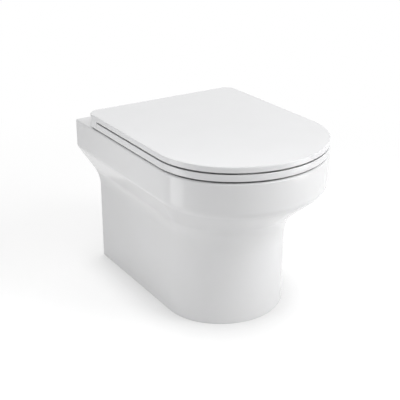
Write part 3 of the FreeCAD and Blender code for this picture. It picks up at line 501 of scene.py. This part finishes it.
edge_inset, edge_rise = quarter(RING_ROUND, 5)
hole_grow, hole_rise = quarter(HOLE_ROUND, 9)
low_edge, high_edge = RING_LOW + RING_ROUND - edge_rise, RING_TOP - RING_ROUND + edge_rise
up_z = np.concatenate([low_edge[::-1], high_edge])
down_z = np.concatenate([RING_TOP - DISH - HOLE_ROUND + hole_rise[::-1], low_edge])
outside = ring_outer(np.concatenate([edge_inset[::-1], edge_inset]), up_z)
inside = opening(*ring_outer(RING_ROUND, RING_TOP), *HOLE, np.concatenate([hole_grow[::-1], edge_inset]))
parts = [outside, blended(outside, inside, ACROSS), inside, blended(inside, outside, ACROSS)]
x, y = (np.vstack([part[i] for part in parts]) for i in (0, 1))
z = np.concatenate([up_z, RING_TOP - DISH * dished(ACROSS), down_z, RING_LOW + 0 * ACROSS])
z = z[:, None] + 0 * x
ring_slab = shell(np.stack([x, y, z], axis=-1), grid(*x.shape, True, True))

KNUCKLE, BORE, CUP_FLOOR, CUP_BEVEL, VENT = 8.5, 6.55, 1.5, 0.8, 0.5
RING_KNUCKLE, ARM_Y, ARM_Z = (44.4, 67.4), (-103, AXIS_Y - 7), (90.5, 101.0)


def cup(start, end):
    """Profile of a bored knuckle: open at the end, with a floor and a small vent at the start."""
    step = math.copysign(1, end - start)
    floor, bevel = CUP_FLOOR * step, CUP_BEVEL * step
    return [(VENT, start), (KNUCKLE - CUP_BEVEL, start), (KNUCKLE, start + bevel), (KNUCKLE, end - bevel),
            (KNUCKLE - CUP_BEVEL, end), (BORE, end), (BORE, start + floor), (VENT, start + floor)]


ring_arms = []
for sign in (1, -1):
    ends = [sign * end for end in RING_KNUCKLE]
    ring_arms.append(turned(cup(*ends), "x", (0, AXIS_Y, AXIS_Z)))
    ring_arms.append(block(sorted(ends), ARM_Y, ARM_Z, corner=1.5, edge=1.0))
seat_ring = piece("seat_ring_moulded", [ring_slab] + ring_arms, "ring", "seat")
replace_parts(seat_ring, "seat_ring")

# %% [markdown]
# ## Deck
# The top of the casting: a thick plate round the mouth of the bowl. Its glazed top is level at the hinges
# and falls inwards along the sides and the nose, from the land of the wall to the mouth. It is drawn in
# the same way as the ring. The hinge discs cover the two seat holes, so the plate is drawn closed there.
# %% Deck
DECK_UNDER, MOUTH_ROUND, DECK_DISH = 69.0, 6.0, 7.0
MOUTH = (-313.75, 124.0, 145.75)  # middle in y, half the width, half the length
plate_x, plate_y = with_back(*d_plan(RIM[0] - WALL, RIM[1] - WALL, RIM[2], RIM[3]), 0)
mouth_grow, mouth_rise = quarter(MOUTH_ROUND, 9)
mouth_x, mouth_y = opening(plate_x, plate_y, *MOUTH, np.append(mouth_grow[::-1], 0))
part_way = np.append(0, ACROSS)[:, None]
top_x, top_y = mix(plate_x, mouth_x[:1], part_way), mix(plate_y, mouth_y[:1], part_way)
top_z = DECK - fall(top_y) * mix(LAND_FALL, DECK_DISH, dished(part_way))
lip_z = np.append(DECK - MOUTH_ROUND + mouth_rise[::-1], DECK_UNDER)[:, None]
lip_z = np.maximum(lip_z - DECK_DISH * fall(mouth_y), DECK_UNDER)
x, y = np.vstack([plate_x, top_x, mouth_x]), np.vstack([plate_y, top_y, mouth_y])
z = np.vstack([DECK_UNDER + 0 * plate_x, top_z, lip_z])
deck_slab = shell(np.stack([x, y, z], axis=-1), grid(*x.shape, True, True))
pan_deck = piece("pan_deck_glazed", [deck_slab], "pan", "glaze")
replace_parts(pan_deck, "pan_deck")

# %% [markdown]
# ## Lid
# The lid is a tray turned upside down: a flat top with a soft edge, a skirt all round, and a shallow
# hollow below. At the back the skirt drops to form two cheeks that hide the hinge, with a slanted seam
# towards the ring and a rounded heel so that the lid can swing up in front of the wall. Notches let the
# posts through.
# %% Lid
LID_TOP, PLATE_LOW, LID_BACK, LID_EDGE, LID_CORNER = 116.5, 108.7, 53.0, 2.0, 24
SKIRT, BACK_SKIRT, SKIRT_BEVEL, PLATE_BEVEL, HEEL = 6, 4.5, 0.5, 0.7, 5
SEAM_FRONT, SEAM_RUN = -98, 4
NOTCH, HAIR = (42.4, 93.5), 0.01  # a hair keeps two points apart that would fall together
LID_KNUCKLE = (113.6, 87.6)
notch_x = np.array([NOTCH[0] - HAIR, NOTCH[0] + HAIR, 56, 70, 82, NOTCH[1] - HAIR, NOTCH[1] + HAIR])
lid_back_x = np.concatenate([[0, 14, 28], notch_x, [110, 132]])
lid_side_y = np.array([-80, -84, -88, -94, -98, -104, -120, -150, -185, -220, -260, -300, -330.0])


def lid_plan(half, length, back, corner, inset):
    """Closed outline of the lid: straight back, rounded back corners, sides, corner arcs and nose."""
    x, y = d_arcs(half, length, RIM[2], RIM[3], inset)
    (inset,) = columns(inset)
    a = np.linspace(np.pi / 2, 0, 12)[None, :]
    corner_x = half - corner + (corner - inset) * np.cos(a)
    corner_y = -back - corner + (corner - inset) * np.sin(a)
    x = np.hstack([lid_back_x + 0 * inset, corner_x, half - inset + 0 * lid_side_y, x])
    y = np.hstack([0 * lid_back_x - back - inset, corner_y, lid_side_y + 0 * inset, y])
    return np.hstack([x, -x[:, -2:0:-1]]), np.hstack([y, y[:, -2:0:-1]])


def lid_outer(inset):
    """Outlines of the outside of the lid."""
    return lid_plan(RIM[0], RIM[1], LID_BACK, LID_CORNER, inset)


def lid_cavity(inset):
    """Outlines of the hollow, as far inside as the skirt is thick."""
    return lid_plan(RIM[0] - SKIRT, RIM[1] - SKIRT, LID_BACK + BACK_SKIRT, LID_CORNER - SKIRT, inset)


plan_x, plan_y = lid_outer(0)
low = mix(SEAM_HIGH, SEAM_LOW, np.clip((plan_y - SEAM_FRONT) / SEAM_RUN, 0, 1))
at_back = plan_y > -LID_BACK - 0.1
notched = at_back & (np.abs(plan_x) > NOTCH[0]) & (np.abs(plan_x) < NOTCH[1])
low = np.where(notched, PLATE_LOW - 2 * HAIR, low)
top_inset, top_rise = quarter(LID_EDGE, 11)
skirt = np.array([1, 0.8, 0.6, 0.4, 0.28, 0.2, 0.13, 0.08, 0.04])[:, None]
layers = [
    (lid_outer(top_inset[::-1]), (LID_TOP - LID_EDGE + top_rise[::-1])[:, None] + 0 * low),
    (lid_outer(0 * skirt), mix(low, LID_TOP - LID_EDGE, skirt)),
    (lid_outer([SKIRT_BEVEL]), low),
    (lid_cavity([-SKIRT_BEVEL]), low),
    (lid_cavity([0]), np.minimum(low + SKIRT_BEVEL, PLATE_LOW - HAIR)),
    (lid_cavity([0, PLATE_BEVEL]), np.array([[PLATE_LOW - PLATE_BEVEL], [PLATE_LOW]]) + 0 * low),
]
x, y = (np.vstack([plan[i] for plan, _ in layers]) for i in (0, 1))
z = np.maximum(np.vstack([height for _, height in layers]), low)
drop = np.clip(HEEL - (z - SEAM_LOW), 0, HEEL)
y = np.minimum(y, -LID_BACK - HEEL + np.sqrt(HEEL ** 2 - drop ** 2))
lid_tray = stack(x, y, z)
bosses = []
for sign in (1, -1):
    ends = [sign * end for end in LID_KNUCKLE]
    bosses.append(turned(cup(*ends), "x", (0, AXIS_Y, AXIS_Z)))
    bosses.append(block(sorted(ends), (AXIS_Y - 8.4, AXIS_Y + 7), (AXIS_Z + 6.6, PLATE_LOW + 1),
                        corner=1, edge=0.8))
lid = piece("lid_moulded", [lid_tray] + bosses, "lid", "seat")
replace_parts(lid, "lid")

# %% [markdown]
# ## Hinge posts
# Each chromed post is a disc, a pillar and a barrel for the pin, as cast zinc posts are. The disc and the
# barrel are turned, and the pillar is a block whose edges are barely broken, as plating leaves them.
# %% Hinge posts
HINGE_X, POST_Y, POST_HALF = 77.5, -71.0, 9.5
# Profiles are pairs of radius and place along the axis.
disc = [(4.1, 86), (13.4, 86), (14, 86.6), (14, 87.6), (13.7, 88.3), (13.0, 88.8), (12, 89), (4.1, 89)]
for side, sign in (("left", -1), ("right", 1)):
    at = sign * HINGE_X
    width = (at - POST_HALF, at + POST_HALF)
    pillar = block(width, (AXIS_Y - 8.6, AXIS_Y + 6.4), (87, AXIS_Z + 4), corner=3, edge=0.5)
    barrel = turned(tube(9, 4.05, *width, bevel=1.0), "x", (0, AXIS_Y, AXIS_Z))
    shells = [turned(disc, "z", (at, POST_Y, 0)), pillar, barrel]
    post = piece(f"{side}_post_chromed", shells, "pan", "chrome")
    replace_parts(post, f"{side}_hinge_post")

# %% [markdown]
# ## Studs and wing nuts
# The stud below each post has a rolled M8 thread, and a moulded wing nut pulls it down. The thread is a
# rod whose radius follows a tooth along a helix, so its grooves are real geometry. The nut is a turned
# hub with a rounded block for each wing.
# %% Studs and wing nuts
STUD_HOLE, WING_REACH = 4.06, (6.5, 19)
hub = [(STUD_HOLE, 51), (7.2, 51), (8, 51.8), (8, 61), (7.4, 62.4), (6.6, 63), (STUD_HOLE, 63)]


def threaded(radius, pitch, depth, start, end, centre):
    """Rod whose radius follows a triangle wave with cut tips along a helix, fading out at both ends."""
    steps = int((end - start) / pitch * 10)
    along = np.linspace(start, end, steps)[:, None]
    a = np.linspace(0, 2 * np.pi, 32, endpoint=False)[None, :]
    tooth = np.abs((along / pitch - a / (2 * np.pi)) % 1 - 0.5) * 2
    fade = np.clip(np.minimum(along - start, end - along) / pitch, 0, 1)
    r = radius - depth * np.clip(1.25 * tooth - 0.1, 0, 1) * fade - 0.5 * (1 - fade)
    return stack(r * np.cos(a), r * np.sin(a), along, centre)


studs, nuts = [], []
for at in (-HINGE_X, HINGE_X):
    centre = (at, POST_Y, 0)
    studs.append(threaded(radius=4.0, pitch=1.25, depth=0.6, start=32, end=90, centre=centre))
    nuts.append(turned(hub, "z", centre))
    for sign in (1, -1):
        wing = sorted(at + sign * reach for reach in WING_REACH)
        nuts.append(block(wing, (POST_Y - 2, POST_Y + 2), (51, 61), corner=1.9, edge=1.4))
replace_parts(piece("hinge_studs_threaded", studs, "pan", "steel"), "hinge_studs")
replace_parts(piece("wing_nuts_moulded", nuts, "pan", "nylon"), "wing_nuts")

# %% [markdown]
# ## Turned rubber and nylon
# Gaskets, grommets and washers lie round the hinge studs, sleeves line the two wall stud holes, and a
# ribbed seal grips the flush pipe. All of them are profiles turned about their own axis.
# %% Rings and sleeves
gasket = [(7, 85), (13.7, 85), (14, 85.3), (14, 85.7), (13.7, 86), (7, 86)]
grommet = [(STUD_HOLE, 66), (11.4, 66), (12, 66.6), (12, 68.4), (11.6, 69), (6.95, 69), (6.95, 75.6),
           (6.2, 77), (STUD_HOLE, 77)]
washer = tube(14, STUD_HOLE, 63, 66, bevel=0.5)
sleeve = [(6.5, -23), (14.4, -23), (15, -22.4), (15, -20.6), (14.6, -20), (10.95, -20), (10.95, -0.8),
          (10.2, 0), (6.5, 0)]
SEAL_START, SEAL_END, INLET_Z, STUD_X = -50, -14, 35, 90
ribs = np.linspace(SEAL_START, SEAL_END, 73)
wave = (ribs - SEAL_END) / (SEAL_END - SEAL_START) * 2 * np.pi
rib_out = 26.2 + 1.25 * np.clip(np.cos(wave * 4), 0, 1) ** 0.5
rib_in = 22.5 + 0.9 * np.clip(np.cos(wave * 3 + np.pi), 0, 1)
seal = list(zip(rib_out, ribs)) + list(zip(rib_in[::-1], ribs[::-1]))


def at_both(profile, axis, x, y):
    """The same turned piece on the left and on the right."""
    return [turned(profile, axis, (sign * x, y, 0)) for sign in (-1, 1)]


for name, shells, slot, node in (
        ("post_gaskets_turned", at_both(gasket, "z", HINGE_X, POST_Y), "rubber", "post_gaskets"),
        ("hole_grommets_turned", at_both(grommet, "z", HINGE_X, POST_Y), "rubber", "hole_grommets"),
        ("fixing_washers_turned", at_both(washer, "z", HINGE_X, POST_Y), "nylon", "fixing_washers"),
        ("stud_sleeves_turned", at_both(sleeve, "y", STUD_X, 0), "nylon", "stud_sleeves"),
        ("inlet_seal_ribbed", [turned(seal, "y", (0, 0, INLET_Z), 72)], "rubber", "inlet_seal")):
    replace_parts(piece(name, shells, "pan", slot), node)

# %% [markdown]
# ## Pins, dampers and bushes
# A ground steel pin runs through each post. On one side of the ring and of the lid it turns in a
# soft-close cartridge with a grooved collar, on the other in a plain nylon bush.
# %% Bearings on the hinge axis
BEARING, PIN_HOLE = 6.5, 4.06
pin = [(0.4, 47.4), (3.2, 47.4), (4, 48.2), (4, 109.8), (3.2, 110.6), (0.4, 110.6)]
pins = [turned([(r, sign * along) for r, along in pin], "x", (0, AXIS_Y, AXIS_Z)) for sign in (-1, 1)]
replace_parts(piece("hinge_pins_turned", pins, "pan", "steel"), "hinge_pins")


def cartridge(start, end):
    """Collar with a shallow groove near its start and bevelled ends, bored for the pin."""
    small = BEARING - 0.4
    groove = [(BEARING, start + 2), (small, start + 2.4), (small, start + 3.6), (BEARING, start + 4)]
    return ([(PIN_HOLE, start), (small, start), (BEARING, start + 0.4)] + groove
            + [(BEARING, end - 0.4), (small, end), (PIN_HOLE, end)])


def bush(start, end):
    """Plain bearing, bored for the pin."""
    return tube(BEARING, PIN_HOLE, start, end, bevel=0.5)


for name, node, body, slot, profile in (
        ("ring_damper_turned", "ring_damper", "ring", "damper", cartridge(-67.4, -45.9)),
        ("ring_bush_turned", "ring_bush", "ring", "nylon", bush(45.9, 67.4)),
        ("lid_damper_turned", "lid_damper", "lid", "damper", cartridge(87.6, 112.1)),
        ("lid_bush_turned", "lid_bush", "lid", "nylon", bush(-112.1, -87.6))):
    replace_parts(piece(name, [turned(profile, "x", (0, AXIS_Y, AXIS_Z))], body, slot), node)

# %% [markdown]
# ## Buffers
# Four soft stops under the ring and four under the lid carry them. Each is a short loaf with round ends
# and a rolled edge, and reaches down to the dished top below it.
# %% Buffers
STOP_HALF, STOP_LONG, STOP_EDGE = 6, 15, 1.2
ON_DECK, ON_RING = DECK - 5.4, RING_TOP - 4.9


def loaves(places, low, high):
    """Stops at mirrored places, given by their centre in plan."""
    return [block((sign * x - STOP_HALF, sign * x + STOP_HALF), (y - STOP_LONG, y + STOP_LONG),
                  (low, high), corner=STOP_HALF, edge=STOP_EDGE)
            for x, y in places for sign in (-1, 1)]


ring_stops = loaves([(150, -215), (128, -402.5)], ON_DECK, RING_LOW)
lid_stops = loaves([(146, -250), (122, -408.5)], ON_RING, PLATE_LOW)
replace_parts(piece("ring_buffers_moulded", ring_stops, "ring", "buffer"), "ring_buffers")
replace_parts(piece("lid_buffers_moulded", lid_stops, "lid", "buffer"), "lid_buffers")

# %% [markdown]
# ## Camera
# The photo looks down at about 24 degrees from the front left through a fairly long lens. The camera's
# own axes are worked out from those angles: its back points at the viewer, its right lies level. Colours
# are shown as they are, without a film curve, so that white stays white.
# %% Camera
AZIMUTH, ELEVATION, ROLL = np.radians([-33.0674, 23.5413, 0.3238])
STAND_POINT, LENS_MM, SENSOR_MM = (-0.898865, -1.59036, 0.649987), 76.28, 36
away = np.array([np.sin(AZIMUTH) * np.cos(ELEVATION), -np.cos(AZIMUTH) * np.cos(ELEVATION),
                 np.sin(ELEVATION)])
level = np.array([np.cos(AZIMUTH), np.sin(AZIMUTH), 0])
upright = np.cross(away, level)
stand = np.eye(4)
stand[:3, 0] = np.cos(ROLL) * level + np.sin(ROLL) * upright
stand[:3, 1] = np.cos(ROLL) * upright - np.sin(ROLL) * level
stand[:3, 2] = away
stand[:3, 3] = STAND_POINT
lens = bpy.data.cameras.new("camera")
lens.lens, lens.sensor_width = LENS_MM, SENSOR_MM
camera = bpy.data.objects.new("camera", lens)
camera.matrix_world = Matrix(stand.tolist())
bpy.context.scene.collection.objects.link(camera)
bpy.context.scene.camera = camera
bpy.context.scene.view_settings.view_transform = "Standard"
print("lens", round(lens.lens, 1), "mm")

# %% [markdown]
# ## White floor
# The pan stands on a white sweep. A plain white floor would show every fall-off of the lamps, so where it
# is looked at, directly or in a reflection, part of its colour is a glow of its own. The glow's share
# grows with the distance from the pan, which lets the rest fade to pure white, and the glow is dimmed
# close to the foot, which keeps the soft shadow there.
# %% Floor
FLOOR_HALF, FLOOR_Z, MIDDLE_Y = 8, UNDER / 1000, -0.25
BOUNCE, SHOWN = 0.85, 1.26                    # colour for light that bounces and for the picture
RETOUCH, FADE_FROM, FADE_TO = 0.60, 0.5, 1.3  # least share of the glow, metres over which it grows to 1
# painted shadow: near the foot ambient occlusion dims the glow by up to this share, within this many
# metres
PAINTED_SHADOW_DEPTH, REACH = 0.75, 0.08                   # how far the glow is dimmed, within how many metres
corners = [(x * FLOOR_HALF, y * FLOOR_HALF, FLOOR_Z) for x, y in ((-1, -1), (1, -1), (1, 1), (-1, 1))]
floor_mesh = bpy.data.meshes.new("floor")
floor_mesh.from_pydata(corners, [], [(0, 1, 2, 3)])
floor = bpy.data.objects.new("floor", floor_mesh)
bpy.context.scene.collection.objects.link(floor)


def nodes_of(tree, *kinds):
    """New nodes of the given kinds, in the same order."""
    return [tree.nodes.new("ShaderNode" + kind) for kind in kinds]


def looked_at(tree):
    """1 where a ray comes from the camera, a reflection or through glass, else 0."""
    path, first, second = nodes_of(tree, "LightPath", "Math", "Math")
    first.operation = second.operation = "MAXIMUM"
    link(tree,
         (path.outputs["Is Camera Ray"], first.inputs[0]),
         (path.outputs["Is Glossy Ray"], first.inputs[1]),
         (first.outputs[0], second.inputs[0]),
         (path.outputs["Is Transmission Ray"], second.inputs[1]))
    return second.outputs[0]


sweep = bpy.data.materials.new("white sweep")
sweep.use_nodes = True
tree = sweep.node_tree
tree.nodes.remove(tree.nodes["Principled BSDF"])
place, distance, far, shown, near, matt, painted_shadow, soft, white, blend = nodes_of(
    tree, "TexCoord", "VectorMath", "MapRange", "Math", "MapRange", "BsdfDiffuse", "AmbientOcclusion",
    "MapRange", "Emission", "MixShader")
distance.operation = "DISTANCE"
distance.inputs[1].default_value = (0, MIDDLE_Y, FLOOR_Z)
far.interpolation_type = "SMOOTHSTEP"
shown.operation = "MULTIPLY"
# painted shadow: this ambient occlusion sets how much the glow is dimmed near the pan
painted_shadow.samples = 16
painted_shadow.inputs["Distance"].default_value = REACH
for node, label, value in ((far, "From Min", FADE_FROM), (far, "From Max", FADE_TO),
                           (far, "To Min", RETOUCH), (near, "To Min", BOUNCE),
                           (near, "To Max", SHOWN), (soft, "To Min", 1 - PAINTED_SHADOW_DEPTH)):
    node.inputs[label].default_value = value
seen = looked_at(tree)
link(tree,
     (place.outputs["Object"], distance.inputs[0]),
     (distance.outputs["Value"], far.inputs["Value"]),
     (far.outputs["Result"], shown.inputs[0]),
     (seen, shown.inputs[1]),
     (seen, near.inputs["Value"]),
     (near.outputs["Result"], matt.inputs["Color"]),
     (painted_shadow.outputs["AO"], soft.inputs["Value"]),
     (soft.outputs["Result"], white.inputs["Strength"]),
     (shown.outputs[0], blend.inputs[0]),
     (matt.outputs[0], blend.inputs[1]),
     (white.outputs[0], blend.inputs[2]),
     (blend.outputs[0], tree.nodes["Material Output"].inputs["Surface"]))
floor_mesh.materials.append(sweep)
print("floor at", FLOOR_Z, "m")

# %% [markdown]
# ## Room
# Looked at, directly or in the gloss of the glaze, the room is plain white. As a light it is much dimmer:
# an even grey, with more from above that falls off with the square of the height of the direction.
# %% Room
EVEN, ABOVE, NARROW = 0.26, 0.25, 2
world = bpy.data.worlds.new("white room")
world.use_nodes = True
tree = world.node_tree
place, parts, lit, lobe, total, strength = nodes_of(
    tree, "TexCoord", "SeparateXYZ", "Math", "Math", "Math", "Mix")
lit.operation, lobe.operation, total.operation = "MAXIMUM", "POWER", "MULTIPLY_ADD"
lit.inputs[1].default_value = 0
lobe.inputs[1].default_value = NARROW
total.inputs[1].default_value = ABOVE
total.inputs[2].default_value = EVEN
strength.data_type = "FLOAT"
strength.inputs["B"].default_value = 1
background = tree.nodes["Background"]
background.inputs["Color"].default_value = (1, 1, 1, 1)
link(tree,
     (place.outputs["Generated"], parts.inputs["Vector"]),
     (parts.outputs["Z"], lit.inputs[0]),
     (lit.outputs[0], lobe.inputs[0]),
     (lobe.outputs[0], total.inputs[0]),
     (looked_at(tree), strength.inputs["Factor"]),
     (total.outputs[0], strength.inputs["A"]),
     (strength.outputs["Result"], background.inputs["Strength"]))
bpy.context.scene.world = world
print("room", EVEN, "to", EVEN + ABOVE)

# %% [markdown]
# ## Soft boxes
# The photo is lit from the right and from above, with a weaker fill from the front. A near key and a high
# key brighten the right of the foot and the rim, the overhead box and two boxes behind light the lid, and
# a narrow strip close to the left side is mirrored as the bright window on the rim.
# %% Soft boxes


def soft_box(name, bearing, height, width, tall, power, distance=2.2, target=(0, MIDDLE_Y, -0.05)):
    """A rectangular area lamp on a bearing from its target (degrees from +X) and at a height angle."""
    lamp = bpy.data.lights.new(name, "AREA")
    lamp.shape = "RECTANGLE"
    lamp.size, lamp.size_y, lamp.energy = width, tall, power
    turn, rise = np.radians([bearing, height])
    out = np.array([np.cos(turn) * np.cos(rise), np.sin(turn) * np.cos(rise), np.sin(rise)])
    side = np.array([-np.sin(turn), np.cos(turn), 0])
    pose = np.eye(4)
    pose[:3, :3] = np.stack([side, np.cross(out, side), out], axis=1)
    pose[:3, 3] = np.array(target) + distance * out
    obj = bpy.data.objects.new(name, lamp)
    obj.matrix_world = Matrix(pose.tolist())
    obj.visible_camera = False
    bpy.context.scene.collection.objects.link(obj)
    print(name, "lamp", power, "W")


# Name, bearing and height in degrees, width and height in metres, watts; some with distance and target.
LAMPS = [
    ("key", -48, 0, 0.4, 0.9, 2.6, 1.05, (0, MIDDLE_Y, 0.2)),
    ("high key", -56, 42, 0.8, 1.0, 13),
    ("front", -125, 35, 1.0, 1.0, 3.5),
    ("overhead", 0, 88, 2.2, 2.2, 8),
    ("back right", 58, 40, 1.6, 1.0, 5),
    ("back", 100, 56, 1.0, 0.6, 3),
    ("left strip", 160, 0, 0.23, 0.6, 0.7, 0.5, (-0.172, -0.396, 0.055)),
]
for lamp in LAMPS:
    soft_box(*lamp)
